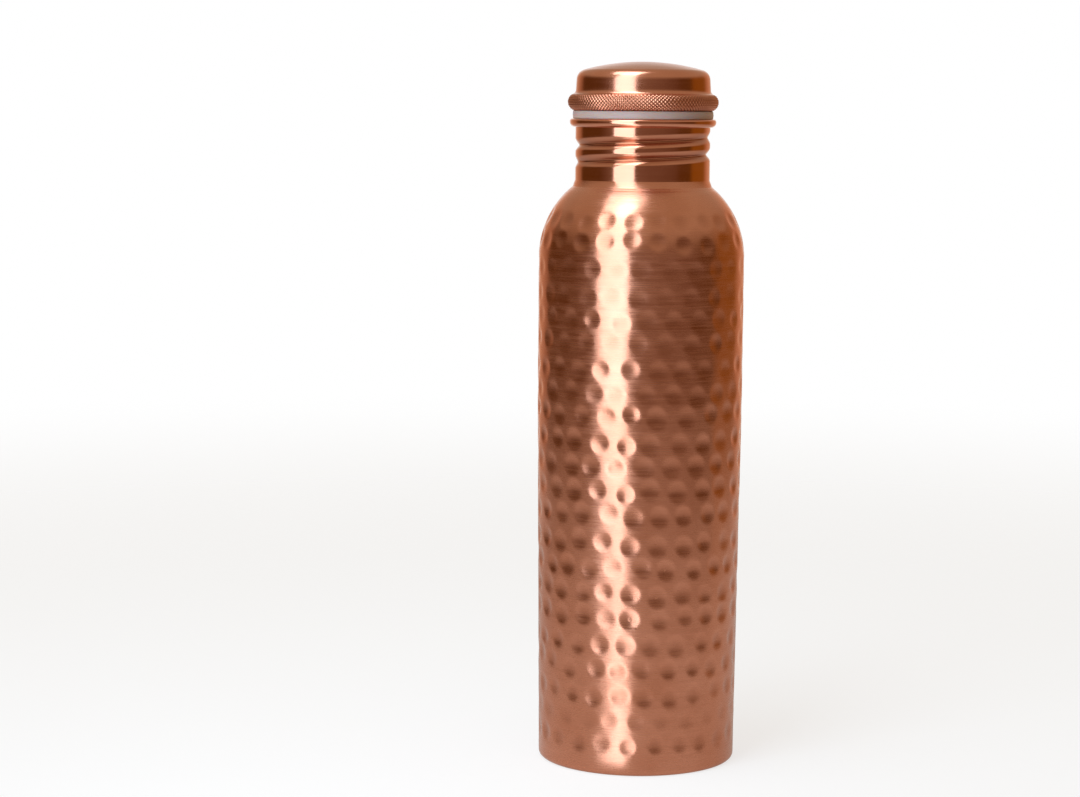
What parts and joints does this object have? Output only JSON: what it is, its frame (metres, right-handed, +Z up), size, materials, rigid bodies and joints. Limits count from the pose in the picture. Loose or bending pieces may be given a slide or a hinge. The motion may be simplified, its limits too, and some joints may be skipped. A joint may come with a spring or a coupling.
{
  "type": "copper water bottle",
  "caption": "Hammered copper water bottle with a tapered round body, domed shoulder, rolled neck thread and a knurled screw-in stopper cap on a white sealing washer.",
  "frame": {"origin": "centre of the foot ring, on the surface that the bottle stands on", "axes": "+Z up along the bottle's axis to the cap; +X is where the neck thread's helix is counted from, and the body is otherwise round"},
  "size_m": [0.0786, 0.0786, 0.2682],
  "materials": {
    "hammered_copper": "rosy copper, hammered and finely brushed round the body, lacquered",
    "polished_copper": "spun copper, satin polished, with a fine knurl on the bead",
    "base_copper": "spun copper, plain satin",
    "braze": "pale braze alloy, as flowed",
    "silicone": "white translucent silicone, smooth"
  },
  "bodies": {
    "bottle": {"bottle_shell": "hammered_copper", "base_pan": "base_copper", "base_braze_ring": "braze"},
    "washer": {"sealing_washer": "silicone"},
    "cap": {"cap_shell": "polished_copper", "cap_plug": "polished_copper", "cap_braze_ring": "braze"}
  },
  "joints": [
    {"name": "cap_rise", "type": "slide", "parent": "bottle", "child": "washer", "axis": [0, 0, 1], "range_m": [0, 0.02561]},
    {"name": "cap_turn", "type": "hinge", "parent": "washer", "child": "cap", "pos_m": [0, 0, 0.248], "axis": [0, 0, 1], "range_deg": [0, 1440]}
  ],
  "couplings": [
    {"joint": "cap_rise", "follows": "cap_turn", "m_per_rad": 0.0010186}
  ]
}
